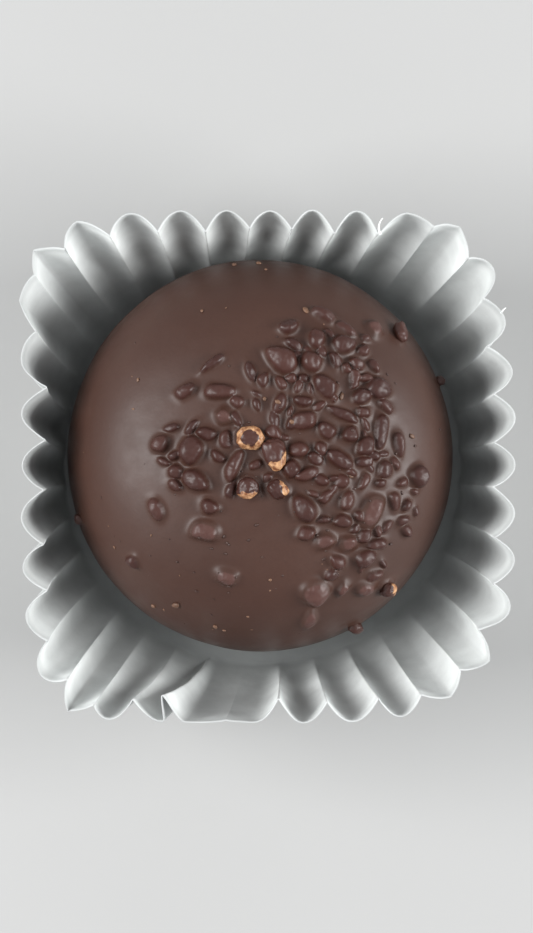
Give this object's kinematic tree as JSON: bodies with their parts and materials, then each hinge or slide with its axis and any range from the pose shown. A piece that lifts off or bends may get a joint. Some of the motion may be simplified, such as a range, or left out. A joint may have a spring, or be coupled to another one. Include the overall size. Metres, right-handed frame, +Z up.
{
  "type": "chocolate truffle",
  "caption": "Smooth chocolate dome topped with coated nibs, standing in a thin white paper case with pleated walls squeezed into a rounded square.",
  "frame": {"origin": "centre of the underside of the paper case, under the middle of its rim", "axes": "+Z up through the top of the truffle, +X to the right and +Y to the top when seen from above"},
  "size_m": [0.0388, 0.0402, 0.0204],
  "materials": {
    "chocolate": "satin",
    "paper": "matte"
  },
  "bodies": {
    "root": {"truffle": "chocolate", "paper_case": "paper"}
  },
  "joints": []
}
